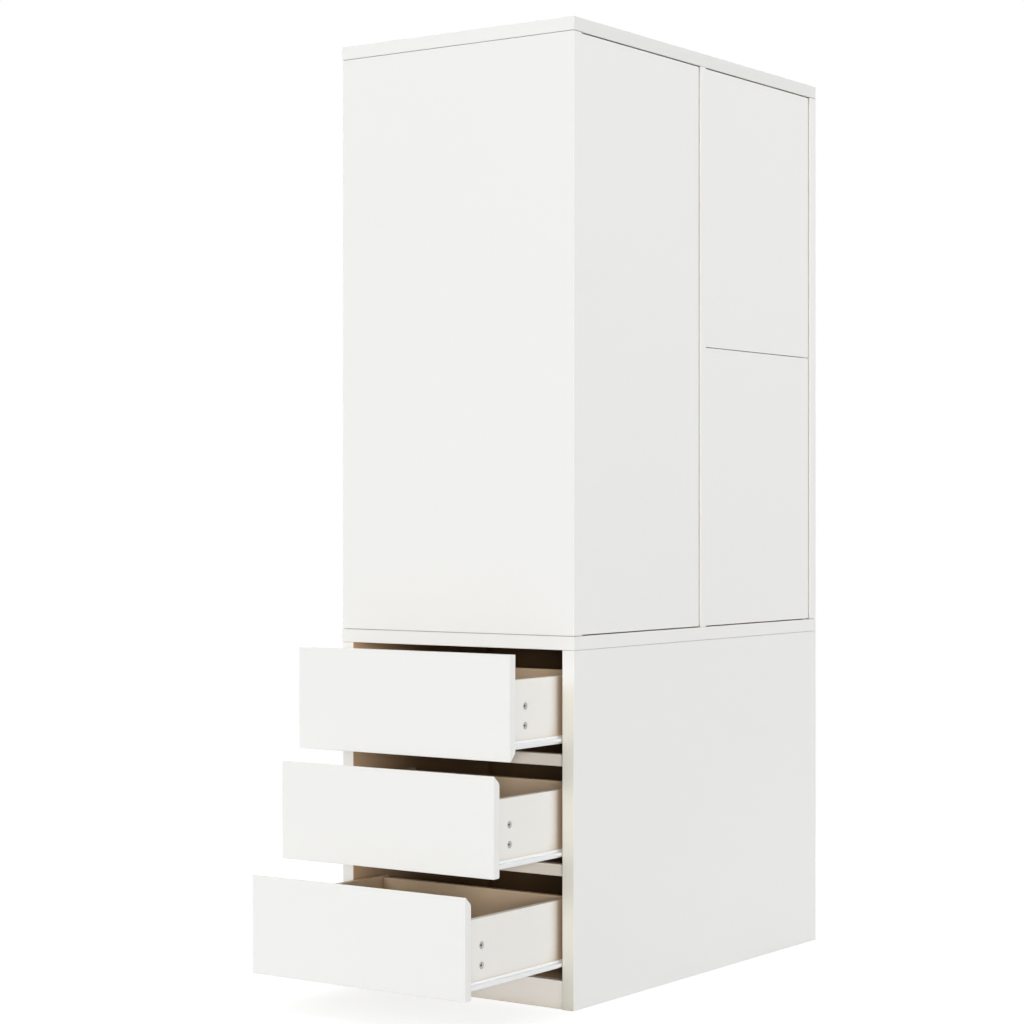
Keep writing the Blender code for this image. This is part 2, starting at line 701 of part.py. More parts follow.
def channel_outline():
    """Cross-section of a cabinet runner member: a channel that the sliding bar runs in."""
    back = CHANNEL_WEB + SHEET
    mouth = WEB + SIDE_PLAY
    floor = BAR_LOW - TOUCH
    ceiling = BAR_HIGH + TOUCH
    return (
        (back, floor - SHEET), (back, ceiling + SHEET), (mouth, ceiling + SHEET), (mouth, ceiling),
        (CHANNEL_WEB, ceiling), (CHANNEL_WEB, floor), (mouth, floor), (mouth, floor - SHEET),
    )


def make_runners(name, slide):
    """The steel sections on a drawer's sides, and the cabinet's channels that they slide in."""
    low = box_span(name)[0]
    start = box_start(name) + TOUCH
    for side_name, outer, _, outward in box_sides():
        label = side_name + "_" + name
        outline = [at(start, outer + outward * out, low + up) for out, up in member_outline()]
        member = Shape().prism(outline, Vector((BOX_LENGTH - TOUCH, 0, 0)))
        add("drawer_runner_" + label, member, "white_steel", slide)
        outline = [at(BEHIND_FRONTS, outer + outward * out, low + up) for out, up in channel_outline()]
        channel = Shape().prism(outline, Vector((BOX_LENGTH, 0, 0)))
        add("cabinet_runner_" + label, channel, "white_steel")


def make_drawers():
    """The three drawers and their runners."""
    for name in DRAWERS:
        low, high = front_span(name)
        place = at(INSET - pull(name), (BAY_NEAR + BAY_FAR) / 2, (low + high) / 2)
        slide = add_body("drawer_" + name + "_slide", place)
        make_drawer(name, slide)
        make_runners(name, slide)


def main():
    """Clear the scene and build every piece."""
    for item in list(bpy.data.objects):
        bpy.data.objects.remove(item)
    make_upper_carcass()
    make_hanging_rail()
    make_doors()
    make_pivots()
    make_latches()
    make_lower_carcass()
    make_drawers()
    bpy.context.view_layer.update()


main()
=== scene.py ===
"""Looks of the wardrobe: camera, light, finishes, and the small fixings in its boards."""

import json
import math

import bmesh
import bpy
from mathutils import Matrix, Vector


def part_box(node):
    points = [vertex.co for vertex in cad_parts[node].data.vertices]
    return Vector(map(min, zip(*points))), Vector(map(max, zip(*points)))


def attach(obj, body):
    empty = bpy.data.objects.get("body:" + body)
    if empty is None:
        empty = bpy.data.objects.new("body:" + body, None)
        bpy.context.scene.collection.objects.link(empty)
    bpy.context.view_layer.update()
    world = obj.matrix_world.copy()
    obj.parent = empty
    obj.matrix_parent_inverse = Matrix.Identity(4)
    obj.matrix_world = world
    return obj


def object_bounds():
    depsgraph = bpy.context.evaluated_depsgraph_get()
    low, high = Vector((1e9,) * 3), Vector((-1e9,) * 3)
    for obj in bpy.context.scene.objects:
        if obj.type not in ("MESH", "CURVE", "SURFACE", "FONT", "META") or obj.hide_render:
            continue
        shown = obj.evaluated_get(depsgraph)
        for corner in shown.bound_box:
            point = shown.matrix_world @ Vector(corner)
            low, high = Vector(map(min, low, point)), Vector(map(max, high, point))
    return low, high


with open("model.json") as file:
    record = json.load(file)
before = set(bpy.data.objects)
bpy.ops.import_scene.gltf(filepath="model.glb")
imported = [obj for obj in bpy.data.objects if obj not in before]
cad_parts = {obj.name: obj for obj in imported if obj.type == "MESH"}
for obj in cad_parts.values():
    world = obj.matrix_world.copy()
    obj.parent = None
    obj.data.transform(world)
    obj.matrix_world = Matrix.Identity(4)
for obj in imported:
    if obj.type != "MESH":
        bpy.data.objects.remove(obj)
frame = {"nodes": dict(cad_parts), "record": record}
cad_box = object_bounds()

# Where the drawer bay opens, along X
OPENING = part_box("middle_panel")[0][0]

# Camera: its place in metres, its turn about Z in degrees, its lens and its sensor in millimetres
CAMERA_PLACE = (-4.674, -3.060, 1.003)
CAMERA_TURN = -55.0
LENS = 87.4
SENSOR = 36.0

# Light: the sky's level, and for each lamp where its light comes from, its level on a surface
# square to it, and its width in degrees
WORLD_LEVEL = 0.30
SUNS = {
    "key": ((-0.84, 0.25, 0.48), 0.20, 30.0),
    "fill": ((-0.80, -0.58, 0.11), 0.535, 12.0),
    "side": ((-0.15, -0.97, 0.12), 0.295, 40.0),
    "top": ((0.0, -0.1, 1.0), 0.08, 50.0),
    "back": ((0.66, 0.74, 0.10), 0.70, 110.0),
}
LAMP_DISTANCE = 5.0

# Floor: its colour in the light that it sends back, its grey and its glow as the camera sees it,
# half its width, where it fades to plain white, and how far it lies under the object
FLOOR_COLOUR = (0.45, 0.45, 0.45)
FLOOR_SEEN = 0.40
FLOOR_LIFT = 0.78
FLOOR_ROUGHNESS = 0.9
FLOOR_HALF = 14.0
FLOOR_FADE = (1.6, 3.2)
FLOOR_DROP = 0.0005

# Painted shade: the bay, the drawers' insides and the boards round their fronts are painted warmer
# and darker than the outside for the shade that falls there, and the partition at the back darkest
BAY_PAINTED_SHADE = (0.74, 0.53, 0.34)
BAY_DEEP_PAINTED_SHADE = (0.21, 0.12, 0.055)
PARTITION_PAINTED_SHADE = (0.12, 0.065, 0.025)
# Painted shade on the drawers' inner faces, and painted light on the top edges of their near sides
BOX_PAINTED_SHADE = (0.60, 0.455, 0.31)
BOX_EDGE_PAINTED_LIGHT = (0.93, 0.87, 0.78)
# Painted warm shade on the rails and the plinth below the drawers
RAIL_PAINTED_SHADE = (0.88, 0.81, 0.72)
PLINTH_PAINTED_SHADE = (0.93, 0.88, 0.82)
# Painted shadow of the drawers on the near stile, and painted light on the far stile
STILE_PAINTED_SHADOW = (0.75, 0.725, 0.65)
FAR_STILE_PAINTED_LIGHT = (0.93, 0.91, 0.87)
# Painted shade on the top panel's edge over the doors
TOP_EDGE_PAINTED_SHADE = (0.795, 0.795, 0.775)

# Faces that carry painted shade or painted light: how the node's name starts, the axis across the
# face and the face's side on it (side 0 is every face), the painted colour, and whether it fades
# deep in the bay or low down
PAINTED_SHADE_AND_LIGHT_FACES = (
    ("lower_front_panel", 1, 1, BAY_PAINTED_SHADE, "deep"),
    ("lower_front_panel", 0, -1, STILE_PAINTED_SHADOW, "low"),
    ("lower_back_panel", 1, -1, BAY_PAINTED_SHADE, "deep"),
    ("lower_back_panel", 0, -1, FAR_STILE_PAINTED_LIGHT, ""),
    ("lower_end_panel", 0, -1, BAY_PAINTED_SHADE, "deep"),
    ("middle_panel", 2, -1, BAY_PAINTED_SHADE, "deep"),
    ("top_panel", 1, -1, TOP_EDGE_PAINTED_SHADE, ""),
    ("lower_partition", 0, -1, PARTITION_PAINTED_SHADE, ""),
    ("drawer_bay_floor", 0, 0, BAY_PAINTED_SHADE, "deep"),
    ("drawer_rail", 0, 0, RAIL_PAINTED_SHADE, ""),
    ("plinth", 0, 0, PLINTH_PAINTED_SHADE, ""),
    ("drawer_side_near", 1, 1, BOX_PAINTED_SHADE, ""),
    ("drawer_side_near", 2, 1, BOX_EDGE_PAINTED_LIGHT, ""),
    ("drawer_side_far", 1, -1, BOX_PAINTED_SHADE, ""),
    ("drawer_side_far", 2, 1, BOX_PAINTED_SHADE, ""),
    ("drawer_back", 0, 0, BOX_PAINTED_SHADE, ""),
)

# How thick a face's painted layer is taken to be, how far inside the opening the deeper painted
# shade starts and is full, and the heights between which the stile's painted shadow turns to plain
# white
FACE_SKIN = 0.0004
DEEP_FADE = (-0.06, 0.28)
STILE_FADE = (0.62, 0.69)

# Painted shade in corners and in narrow gaps, where other surfaces are near: the share of a
# colour that is left, and how open a place is where this is full and where it ends
OUTER_PAINTED_SHADE = (((0.87, 0.80, 0.68), 0.05, 0.90), ((0.40, 0.33, 0.23), 0.05, 0.60))
INNER_PAINTED_SHADE = (((0.58, 0.45, 0.31), 0.22, 0.98),)

# How far from the outer faces the painted shade starts and is full, how near a surface counts as a
# corner, and how many rays look for it
SHADE_START = (0.0001, 0.003)
REACH = 0.04
REACH_RAYS = 8

# Two shades of each finish, which noise mixes
WHITE_COAT = ((0.867, 0.865, 0.845), (0.887, 0.885, 0.867))
INNER_COAT = ((0.862, 0.848, 0.812), (0.882, 0.868, 0.832))
FIBRE_COAT = ((0.70, 0.66, 0.58), (0.80, 0.77, 0.70))
POWDER_COAT = ((0.880, 0.890, 0.893), (0.905, 0.915, 0.918))
ZINC_PLATING = ((0.42, 0.43, 0.45), (0.60, 0.61, 0.62))
CHROME_PLATING = ((0.72, 0.73, 0.75), (0.80, 0.80, 0.81))
CAST_ZINC = ((0.44, 0.44, 0.44), (0.58, 0.58, 0.58))

# One shade of each plastic, and the share of it that noise darkens it to
LATCH_CASE_COLOUR = (0.82, 0.82, 0.80)
PLUNGER_COLOUR = (0.60, 0.60, 0.59)
CAP_COLOUR = (0.84, 0.84, 0.82)
PLASTIC_DARKEST = 0.94

# How much lighter noise makes a plain colour at most
LIGHTEST = 1.03

# Colours of details: the grain of the coatings, the seam of an edge band, and the painted shade in
# the recess of a cam
WHITE_GRAIN_COLOUR = (0.80, 0.79, 0.76)
INNER_GRAIN_COLOUR = (0.70, 0.66, 0.58)
SEAM_COLOUR = (0.68, 0.66, 0.61)
RECESS_PAINTED_SHADE = (0.04, 0.04, 0.04)

# Edge bands: how thick a band is, half the width of its seam, and how far its wear reaches
BAND = 0.0011
SEAM_HALF = 0.00022
WEAR = 0.004

# The middle stretch of soft noise that roughness and shades follow, wide or narrow
WIDE = (0.2, 0.8)
NARROW = (0.3, 0.7)

# Faces that meet at more than this many degrees keep a sharp edge
SHARP = 35.0

# Names of the drawers, from the top
DRAWERS = ("top", "middle", "bottom")

# Round fixings with a cross: how many rim widths from the edge the raised rim ends and the sunk
# face starts, and how much of the cross is left at the foot of its recess
RIM_END = 2.6
FACE_START = 3.0
CROSS_TAPER = 0.7

# Cam fixings of the drawers: the recess is painted dark for the shade in it, over depths that are
# below the outer face
CAM_RADIUS = 0.0072
CAM_SINK = 0.0006
CAM_THICKNESS = 0.0095
CAM_RIM = 0.0006
CAM_CROSS = (0.0040, 0.0013)
CAM_CROSS_DEPTH = 0.003
CAM_DARK = (-0.0020, -0.0007)
CAM_FROM_FRONT = 0.048
CAM_SPACING = 0.039
CAMS_BELOW_TOP = 0.0722

# Screws of the latch cases
SCREW_RADIUS = 0.0032
SCREW_PROUD = 0.0009
SCREW_THICKNESS = 0.0018
SCREW_RIM = 0.00035
SCREW_CROSS = (0.0018, 0.0005)
SCREW_CROSS_DEPTH = 0.0008
SCREW_FROM_END = 0.012

# Caps over the joints of the upper boards: the profile is in shares of radius and height
CAP_RADIUS = 0.0088
CAP_HEIGHT = 0.0010
CAP_SINK = 0.0006
CAP_PROFILE = ((1.0, 0.35), (0.97, 0.65), (0.90, 0.85), (0.70, 1.0))
CAP_FROM_END = 0.034
CAP_FROM_FRONT = 0.085
CAP_FROM_BACK = 0.070


class Nodes:
    """A material's node tree, with short ways to add and join nodes."""

    def __init__(self, name):
        self.material = bpy.data.materials.new(name)
        self.material.use_nodes = True
        self.tree = self.material.node_tree
        self.shader = self.tree.nodes["Principled BSDF"]

    def add(self, kind, **values):
        """A node of a kind, with its properties."""
        node = self.tree.nodes.new("ShaderNode" + kind)
        for key, value in values.items():
            setattr(node, key, value)
        return node

    def feed(self, socket, value):
        """Join an output to a socket, or set the socket to a plain value."""
        if isinstance(value, bpy.types.NodeSocket):
            self.tree.links.new(value, socket)
        else:
            socket.default_value = value

    def maths(self, operation, *values):
        """The result of arithmetic on outputs and numbers."""
        node = self.add("Math", operation=operation)
        for socket, value in zip(node.inputs, values):
            self.feed(socket, value)
        return node.outputs[0]

    def vector_maths(self, operation, *values):
        """The result of arithmetic on vectors."""
        node = self.add("VectorMath", operation=operation)
        for socket, value in zip(node.inputs, values):
            self.feed(socket, value)
        return node.outputs[0]

    def ramp(self, value, low, high, low_result=0.0, high_result=1.0):
        """A smooth change from one number to another as a value grows."""
        node = self.add("MapRange", interpolation_type="SMOOTHSTEP")
        for socket, number in zip(node.inputs, (value, low, high, low_result, high_result)):
            self.feed(socket, number)
        return node.outputs[0]

    def mix(self, factor, first, second, way="MIX"):
        """A colour between two, or the first one multiplied by the second."""
        node = self.add("Mix", data_type="RGBA", blend_type=way)
        for index, value in ((0, factor), (6, first), (7, second)):
            self.feed(node.inputs[index], value)
        return node.outputs[2]

    def shades(self, factor, pair):
        """A colour between the two of a pair."""
        return self.mix(factor, colour(*pair[0]), colour(*pair[1]))

    def finish(self, base, roughness, normal, metallic=0.0):
        """Join a finish to the shader, and give the finished material."""
        self.feed(self.shader.inputs["Base Color"], base)
        self.feed(self.shader.inputs["Roughness"], roughness)
        self.feed(self.shader.inputs["Normal"], normal)
        self.shader.inputs["Metallic"].default_value = metallic
        return self.material

    def inside_carcass(self):
        """0 on the outer faces of the carcass, and 1 from a little way in, where painted shade may
        fall.
        """
        x, y, _ = self.axes(self.place())
        from_front = self.maths("SUBTRACT", y, cad_box[0][1])
        from_back = self.maths("SUBTRACT", cad_box[1][1], y)
        from_end = self.maths("SUBTRACT", cad_box[1][0], x)
        nearest = self.maths("MINIMUM", self.maths("MINIMUM", from_front, from_back), from_end)
        return self.ramp(nearest, *SHADE_START)

    def corners(self, base, shades, mask=None):
        """Paint shade into a colour in corners and gaps, where other surfaces are within reach."""
        node = self.add("AmbientOcclusion", samples=REACH_RAYS)
        node.inputs["Distance"].default_value = REACH
        for shade, low, high in shades:
            closed = self.ramp(node.outputs["AO"], low, high, 1.0, 0.0)
            if mask is not None:
                closed = self.maths("MULTIPLY", closed, mask)
            base = self.mix(closed, base, colour(*shade), "MULTIPLY")
        return base

    def axes(self, vector):
        """The three numbers of a vector."""
        node = self.add("SeparateXYZ")
        self.feed(node.inputs[0], vector)
        return node.outputs

    def place(self):
        """The point on the piece, in metres."""
        return self.add("TexCoord").outputs["Object"]

    def noise(self, scale, detail=2.0, roughness=0.5, stretch=None):
        """Soft noise of 0 to 1 that repeats scale times a metre."""
        node = self.add("TexNoise")
        node.inputs["Scale"].default_value = scale
        node.inputs["Detail"].default_value = detail
        node.inputs["Roughness"].default_value = roughness
        place = self.place()
        if stretch is not None:
            place = self.vector_maths("MULTIPLY", place, stretch)
        self.feed(node.inputs["Vector"], place)
        return node.outputs[0]

    def bump(self, height, distance, strength, below=None):
        """A bump from a height of 0 to 1, distance metres deep, over the one below."""
        node = self.add("Bump")
        node.inputs["Strength"].default_value = strength
        node.inputs["Distance"].default_value = distance
        self.feed(node.inputs["Height"], height)
        if below is not None:
            self.feed(node.inputs["Normal"], below)
        return node.outputs[0]

    def edge_distance(self, low, high):
        """How far a point on a board's surface is from the board's nearest edge."""
        from_low = self.vector_maths("SUBTRACT", self.place(), tuple(low))
        from_high = self.vector_maths("SUBTRACT", tuple(high), self.place())
        x, y, z = self.axes(self.vector_maths("MINIMUM", from_low, from_high))
        larger = self.maths("MAXIMUM", x, y)
        smaller = self.maths("MINIMUM", x, y)
        return self.maths("MAXIMUM", smaller, self.maths("MINIMUM", larger, z))


def colour(red, green, blue):
    """A colour socket's value."""
    return (red, green, blue, 1.0)


def scaled(shade, share):
    """A colour socket's value for a shade made lighter or darker."""
    return colour(*(share * part for part in shade))


def paint_shade_and_light(n, base, name, low, high):
    """Painted shade and painted light on faces of a board, such as those that look into the bay or
    into a drawer.
    """
    for start, axis, side, shade, fade in PAINTED_SHADE_AND_LIGHT_FACES:
        if not name.startswith(start):
            continue
        shade = n.mix(n.noise(scale=3.0, detail=3.0), colour(*shade), scaled(shade, LIGHTEST))
        places = n.axes(n.place())
        # Painted shade turns deeper further into the bay; the stile's painted shadow turns to plain
        # white higher up
        if fade == "deep":
            inwards = n.maths("SUBTRACT", places[0], OPENING)
            shade = n.mix(n.ramp(inwards, *DEEP_FADE), shade, colour(*BAY_DEEP_PAINTED_SHADE))
        elif fade == "low":
            shade = n.mix(n.ramp(places[2], *STILE_FADE), shade, base)
        if side == 0:
            return shade
        plane = high[axis] if side > 0 else low[axis]
        outside = n.maths("MULTIPLY", n.maths("SUBTRACT", plane, places[axis]), side)
        base = n.mix(n.ramp(outside, 0.5 * FACE_SKIN, FACE_SKIN), shade, base)
    return base


def white_board(name, low, high):
    """Satin white coating with a very fine grain and glued edge bands, with painted shade and light
    on some faces and in corners and gaps.
    """
    n = Nodes(name + "_white_coating_painted_shade")
    cloud = n.noise(scale=1.6, detail=3.0)
    fine = n.noise(scale=420.0, detail=3.0)
    base = n.shades(cloud, WHITE_COAT)
    grain = n.ramp(fine, 0.35, 0.75, high_result=0.05)
    base = n.mix(grain, base, colour(*WHITE_GRAIN_COLOUR))
    edge = n.edge_distance(low, high)
    seam = n.maths("ABSOLUTE", n.maths("SUBTRACT", edge, BAND))
    seam = n.ramp(seam, 0.0, SEAM_HALF, low_result=0.35, high_result=0.0)
    base = n.mix(seam, base, colour(*SEAM_COLOUR))
    base = paint_shade_and_light(n, base, name, low, high)
    base = n.corners(base, OUTER_PAINTED_SHADE, n.inside_carcass())
    near_edge = n.ramp(edge, 0.0, WEAR, low_result=1.0, high_result=0.0)
    wear = n.maths("MULTIPLY", near_edge, n.ramp(n.noise(scale=90.0, detail=4.0), 0.45, 0.7))
    satin = n.ramp(n.noise(scale=7.0, detail=4.0), *WIDE, low_result=0.40, high_result=0.47)
    rough = n.maths("ADD", satin, n.maths("MULTIPLY", wear, 0.12))
    wave = n.bump(n.noise(scale=22.0), distance=0.0004, strength=0.5)
    relief = n.bump(fine, distance=0.00012, strength=0.35, below=wave)
    relief = n.bump(seam, distance=-0.00015, strength=0.6, below=relief)
    n.shader.inputs["Specular IOR Level"].default_value = 0.4
    return n.finish(base, rough, relief)


def inner_board(name, low, high):
    """Matt warm coating of the boards inside, with painted shade on their inner faces and in
    corners, and painted light on some top edges.
    """
    n = Nodes(name + "_warm_coating_painted_shade")
    cloud = n.noise(scale=2.5, detail=3.0)
    fine = n.noise(scale=380.0, detail=3.0)
    base = n.shades(cloud, INNER_COAT)
    grain = n.ramp(fine, 0.35, 0.75, high_result=0.10)
    base = n.mix(grain, base, colour(*INNER_GRAIN_COLOUR))
    base = n.corners(paint_shade_and_light(n, base, name, low, high), INNER_PAINTED_SHADE)
    rough = n.ramp(n.noise(scale=9.0, detail=4.0), *WIDE, low_result=0.50, high_result=0.60)
    return n.finish(base, rough, n.bump(fine, distance=0.00015, strength=0.4))


def thin_board(name, low, high):
    """Thin fibreboard with a matt face, and painted shade in its corners."""
    n = Nodes(name + "_fibre")
    fibres = n.noise(scale=60.0, detail=5.0, roughness=0.7, stretch=(1.0, 1.0, 6.0))
    base = n.corners(n.shades(n.ramp(fibres, *NARROW), FIBRE_COAT), INNER_PAINTED_SHADE)
    rough = n.ramp(fibres, *WIDE, low_result=0.58, high_result=0.70)
    return n.finish(base, rough, n.bump(fibres, distance=0.0002, strength=0.4))


def white_steel(name, low, high):
    """Cool white powder coat on thin steel."""
    n = Nodes(name + "_powder_coat")
    peel = n.noise(scale=700.0)
    base = n.shades(n.noise(scale=5.0, detail=3.0), POWDER_COAT)
    rough = n.ramp(peel, *WIDE, low_result=0.28, high_result=0.38)
    return n.finish(base, rough, n.bump(peel, distance=0.0001, strength=0.4))


def zinc_steel(name, low=None, high=None):
    """Zinc plated steel with fine turning marks."""
    n = Nodes(name + "_zinc")
    marks = n.noise(scale=900.0, detail=4.0, roughness=0.6)
    base = n.shades(marks, ZINC_PLATING)
    rough = n.ramp(marks, *WIDE, low_result=0.30, high_result=0.48)
    relief = n.bump(marks, distance=0.00008, strength=0.5)
    return n.finish(base, rough, relief, metallic=0.9)


def chromed_tube(name, low, high):
    """Bright plating with faint smudges."""
    n = Nodes(name + "_chrome")
    smudge = n.noise(scale=25.0, detail=4.0)
    base = n.shades(smudge, CHROME_PLATING)
    rough = n.ramp(smudge, *NARROW, low_result=0.10, high_result=0.22)
    relief = n.bump(n.noise(scale=300.0), distance=0.00004, strength=0.3)
    return n.finish(base, rough, relief, metallic=1.0)


def moulded(name, shade, middle):
    """Moulded plastic with a fine sparked surface, of a roughness about the middle one."""
    n = Nodes(name + "_plastic")
    spark = n.noise(scale=1300.0, detail=3.0)
    base = n.mix(spark, scaled(shade, PLASTIC_DARKEST), colour(*shade))
    rough = n.ramp(spark, *NARROW, low_result=middle - 0.05, high_result=middle + 0.05)
    return n.finish(base, rough, n.bump(spark, distance=0.00006, strength=0.4))


def latch_case_plastic(name, low, high):
    """White plastic of the latch cases."""
    return moulded(name, LATCH_CASE_COLOUR, 0.45)


def plunger_plastic(name, low, high):
    """Grey plastic of the latch plungers."""
    return moulded(name, PLUNGER_COLOUR, 0.40)


# The finish of each slot, made from a node's name and the lowest and highest corners of its box
FINISHES = {
    "white_board": white_board,
    "inner_board": inner_board,
    "thin_board": thin_board,
    "white_steel": white_steel,
    "zinc_steel": zinc_steel,
    "chromed_tube": chromed_tube,
    "latch_case_plastic": latch_case_plastic,
    "plunger_plastic": plunger_plastic,
}


def finish_nodes():
    """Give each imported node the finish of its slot."""
    for part in frame["record"]["subparts"]:
        name = part["node"]
        low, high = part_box(name)
        material = FINISHES[part["material_slot"]](name, low, high)
        materials = frame["nodes"][name].data.materials
        materials.clear()
        materials.append(material)


def link(name, bm, material):
    """Turn a bmesh into an object of the scene."""
    bmesh.ops.recalc_face_normals(bm, faces=bm.faces)
    mesh = bpy.data.meshes.new(name)
    bm.to_mesh(mesh)
    bm.free()
    mesh.shade_smooth()
    mesh.set_sharp_from_angle(angle=math.radians(SHARP))
    mesh.materials.append(material)
    piece = bpy.data.objects.new(name, mesh)
    bpy.context.scene.collection.objects.link(piece)
    return piece


def cam_material():
    """Cast zinc of the cam fixings, painted dark in the recess for the shade there."""
    n = Nodes("cam_cast_zinc")
    grains = n.noise(scale=1500.0, detail=4.0, roughness=0.6)
    height = n.axes(n.place())[2]
    # Painted shade: the recess turns dark with its depth
    sunk = n.ramp(height, *CAM_DARK, low_result=1.0, high_result=0.0)
    base = n.mix(sunk, n.shades(grains, CAST_ZINC), colour(*RECESS_PAINTED_SHADE))
    rough = n.ramp(grains, *WIDE, low_result=0.34, high_result=0.50)
    relief = n.bump(grains, distance=0.00008, strength=0.6)
    return n.finish(base, rough, relief, metallic=0.35)


def cross_outline(half_length, half_width):
    """A cross from above, as corners in order."""
    quarter = ((half_length, half_width), (half_width, half_width), (half_width, half_length))
    points = []
    for turn in range(4):
        angle = math.pi / 2 * turn
        for across, up in quarter:
            points.append((
                across * math.cos(angle) - up * math.sin(angle),
                across * math.sin(angle) + up * math.cos(angle),
            ))
    return points


def turned(bm, profile, sides=32):
    """A turned form about +Z, closed underneath: its rings, from radius and height pairs."""
    turns = [2 * math.pi * (i + 0.5) / sides for i in range(sides)]
    rings = [
        [bm.verts.new((r * math.cos(t), r * math.sin(t), z)) for t in turns]
        for r, z in profile
    ]
    bm.faces.new(rings[0])
    for low, high in zip(rings, rings[1:]):
        for i in range(sides):
            j = (i + 1) % sides
            bm.faces.new((low[i], low[j], high[j], high[i]))
    return rings


def disc_with_cross(radius, thickness, rim, cross, depth):
    """A round fixing: a rim, a sunk face and a cross recess."""
    bm = bmesh.new()
    rings = turned(bm, (
        (radius, -thickness), (radius, -rim), (radius - rim, 0.0),
        (radius - RIM_END * rim, 0.0), (radius - FACE_START * rim, -rim),
    ))
    mouth = [bm.verts.new((x, y, -rim)) for x, y in cross_outline(*cross)]
    foot = [
        bm.verts.new((CROSS_TAPER * v.co.x, CROSS_TAPER * v.co.y, -rim - depth))
        for v in mouth
    ]
    for i in range(len(mouth)):
        j = (i + 1) % len(mouth)
        bm.faces.new((mouth[i], mouth[j], foot[j], foot[i]))
    bm.faces.new(foot)
    loop = []
    for ring in (rings[-1], mouth):
        loop += [bm.edges.get((a, b)) for a, b in zip(ring, ring[1:] + ring[:1])]
    bmesh.ops.triangle_fill(bm, edges=loop, use_beauty=True)
    return bm


def domed_cap(radius, height, sink):
    """A shallow moulded cap with a rounded rim."""
    bm = bmesh.new()
    profile = [(across * radius, up * height) for across, up in CAP_PROFILE]
    rings = turned(bm, [(radius, -sink)] + profile)
    bm.faces.new(rings[-1])
    return bm


def fix(piece, point, outward, body):
    """Set a fixing on a face of a board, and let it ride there."""
    piece.location = point
    piece.rotation_euler = Vector(outward).to_track_quat("Z", "Y").to_euler()
    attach(piece, body)


def make_cams():
    """Two cam fixings in each side of each drawer."""
    material = cam_material()
    for name in DRAWERS:
        for side, outward in (("near", -1), ("far", 1)):
            low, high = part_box("drawer_side_" + side + "_" + name)
            face = low[1] if outward < 0 else high[1]
            middle = high[2] - CAMS_BELOW_TOP
            for place, up in (("upper", 0.5), ("lower", -0.5)):
                bm = disc_with_cross(
                    CAM_RADIUS, CAM_THICKNESS, CAM_RIM, CAM_CROSS, CAM_CROSS_DEPTH)
                cam = link("cam_" + side + "_" + place + "_" + name, bm, material)
                height = middle + up * CAM_SPACING
                point = (low[0] + CAM_FROM_FRONT, face - outward * CAM_SINK, height)
                fix(cam, point, (0, outward, 0), name + "_drawer")


def make_latch_screws():
    """Two screws through the free face of each latch case."""
    material = zinc_steel("latch_screws")
    for name, outward in (("left", -1), ("upper_right", 1), ("lower_right", 1)):
        low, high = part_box(name + "_latch_case")
        face = low[0] if outward < 0 else high[0]
        height = (low[2] + high[2]) / 2
        places = (("front", low[1] + SCREW_FROM_END), ("back", high[1] - SCREW_FROM_END))
        for place, along in places:
            bm = disc_with_cross(
                SCREW_RADIUS, SCREW_THICKNESS, SCREW_RIM, SCREW_CROSS, SCREW_CROSS_DEPTH)
            screw = link(name + "_latch_screw_" + place, bm, material)
            point = (face + outward * SCREW_PROUD, along, height)
            fix(screw, point, (outward, 0, 0), "cabinet")


def make_caps():
    """White caps at the ends of the upper sides and of the divider, front and back."""
    material = moulded("caps", CAP_COLOUR, 0.42)
    inner_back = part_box("upper_back_panel")[0][1]
    for board, outward in (("upper_side_left", 1), ("upper_divider", -1), ("upper_side_right", -1)):
        low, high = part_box(board)
        face = low[0] if outward < 0 else high[0]
        ends = (("lower", low[2] + CAP_FROM_END), ("upper", high[2] - CAP_FROM_END))
        places = (("front", low[1] + CAP_FROM_FRONT), ("back", inner_back - CAP_FROM_BACK))
        for end, height in ends:
            for place, along in places:
                bm = domed_cap(CAP_RADIUS, CAP_HEIGHT, CAP_SINK)
                cap = link(board + "_cap_" + end + "_" + place, bm, material)
                fix(cap, (face, along, height), (outward, 0, 0), "cabinet")


def make_camera():
    """The photograph's view."""
    data = bpy.data.cameras.new("camera")
    data.lens = LENS
    data.sensor_width = SENSOR
    camera = bpy.data.objects.new("camera", data)
    camera.location = CAMERA_PLACE
    camera.rotation_euler = (math.radians(90), 0, math.radians(CAMERA_TURN))
    bpy.context.scene.collection.objects.link(camera)
    bpy.context.scene.camera = camera


def sun(name, source, level, width):
    """A broad, even lamp from one side."""
    data = bpy.data.lights.new(name, "SUN")
    data.energy = math.pi * level
    data.angle = math.radians(width)
    lamp = bpy.data.objects.new(name, data)
    lamp.location = Vector(source) * LAMP_DISTANCE
    lamp.rotation_euler = (-Vector(source)).to_track_quat("-Z", "Y").to_euler()
    bpy.context.scene.collection.objects.link(lamp)


def seen_directly(tree):
    """1 for rays from the camera, or off metal, or through glass, and 0 for the rest."""
    path = tree.nodes.new("ShaderNodeLightPath")
    total = path.outputs["Is Camera Ray"]
    for name in ("Is Glossy Ray", "Is Transmission Ray"):
        node = tree.nodes.new("ShaderNodeMath")
        node.operation = "MAXIMUM"
        tree.links.new(total, node.inputs[0])
        tree.links.new(path.outputs[name], node.inputs[1])
        total = node.outputs[0]
    return total


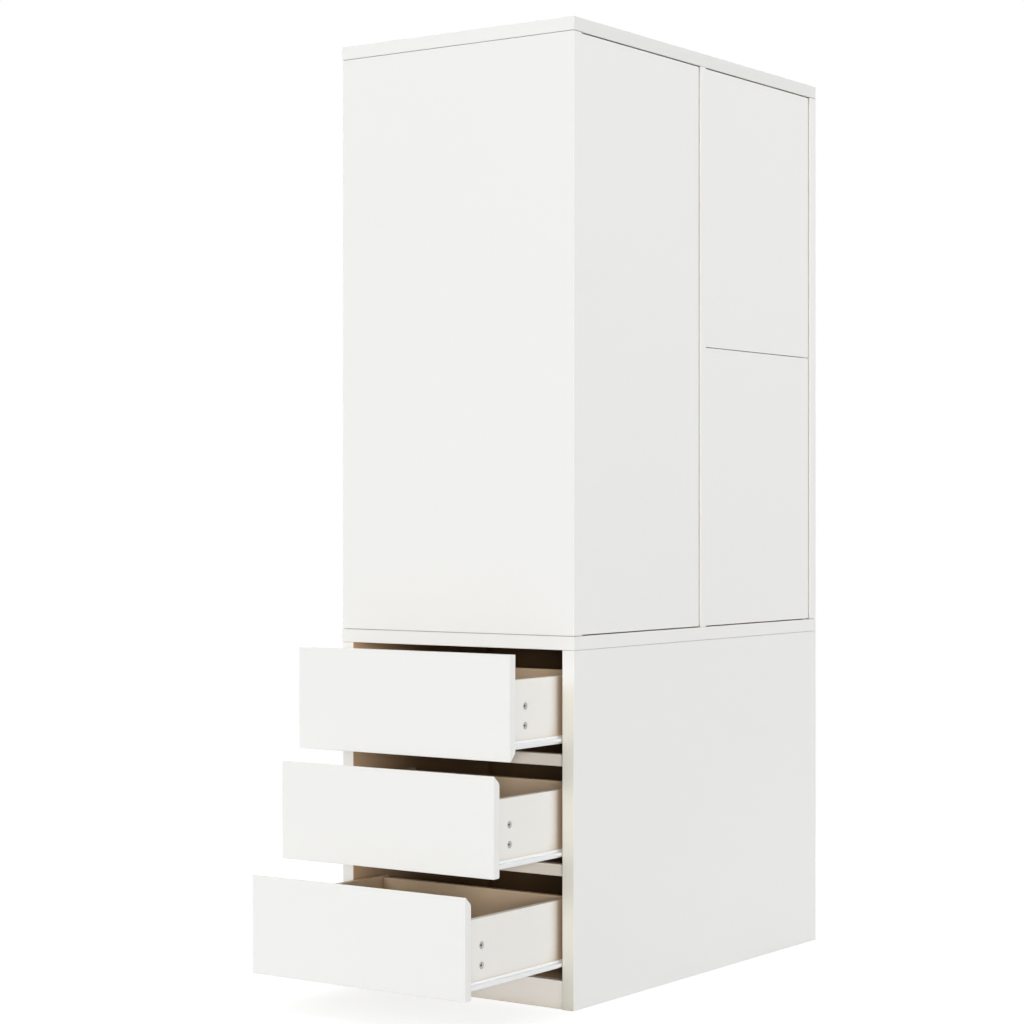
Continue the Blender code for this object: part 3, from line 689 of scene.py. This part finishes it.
def make_light():
    """A white surround, an even sky and broad soft lamps."""
    world = bpy.data.worlds.new("studio")
    bpy.context.scene.world = world
    world.use_nodes = True
    tree = world.node_tree
    background = tree.nodes["Background"]
    background.inputs["Color"].default_value = (1, 1, 1, 1)
    level = tree.nodes.new("ShaderNodeMapRange")
    level.inputs["To Min"].default_value = WORLD_LEVEL
    level.inputs["To Max"].default_value = 1.0
    tree.links.new(seen_directly(tree), level.inputs["Value"])
    tree.links.new(level.outputs[0], background.inputs["Strength"])
    for name, (source, level, width) in SUNS.items():
        sun(name, source, level, width)


def make_floor():
    """A plain pale floor, white to the camera, that keeps the shadow."""
    bm = bmesh.new()
    bmesh.ops.create_grid(bm, x_segments=4, y_segments=4, size=FLOOR_HALF)
    n = Nodes("floor_paper")
    cloud = n.noise(scale=3.0, detail=3.0)
    base = n.mix(cloud, colour(*FLOOR_COLOUR), scaled(FLOOR_COLOUR, LIGHTEST))
    n.feed(n.shader.inputs["Base Color"], base)
    n.shader.inputs["Roughness"].default_value = FLOOR_ROUGHNESS
    seen = n.add("BsdfDiffuse")
    seen.inputs["Color"].default_value = colour(FLOOR_SEEN, FLOOR_SEEN, FLOOR_SEEN)
    lift = n.add("Emission")
    lift.inputs["Strength"].default_value = FLOOR_LIFT
    near = n.add("AddShader")
    n.feed(near.inputs[0], seen.outputs[0])
    n.feed(near.inputs[1], lift.outputs[0])
    distance = n.add("VectorMath", operation="LENGTH")
    n.feed(distance.inputs[0], n.place())
    white = n.add("Emission")
    shown = n.add("MixShader")
    n.feed(shown.inputs[0], n.ramp(distance.outputs["Value"], *FLOOR_FADE))
    n.feed(shown.inputs[1], near.outputs[0])
    n.feed(shown.inputs[2], white.outputs[0])
    surface = n.add("MixShader")
    n.feed(surface.inputs[0], seen_directly(n.tree))
    n.feed(surface.inputs[1], n.shader.outputs[0])
    n.feed(surface.inputs[2], shown.outputs[0])
    n.feed(n.tree.nodes["Material Output"].inputs["Surface"], surface.outputs[0])
    floor = link("floor", bm, n.material)
    floor.location.z = -FLOOR_DROP


def main():
    """Build the whole scene."""
    bpy.context.scene.view_settings.view_transform = "Standard"
    make_camera()
    make_light()
    make_floor()
    finish_nodes()
    make_cams()
    make_latch_screws()
    make_caps()


main()
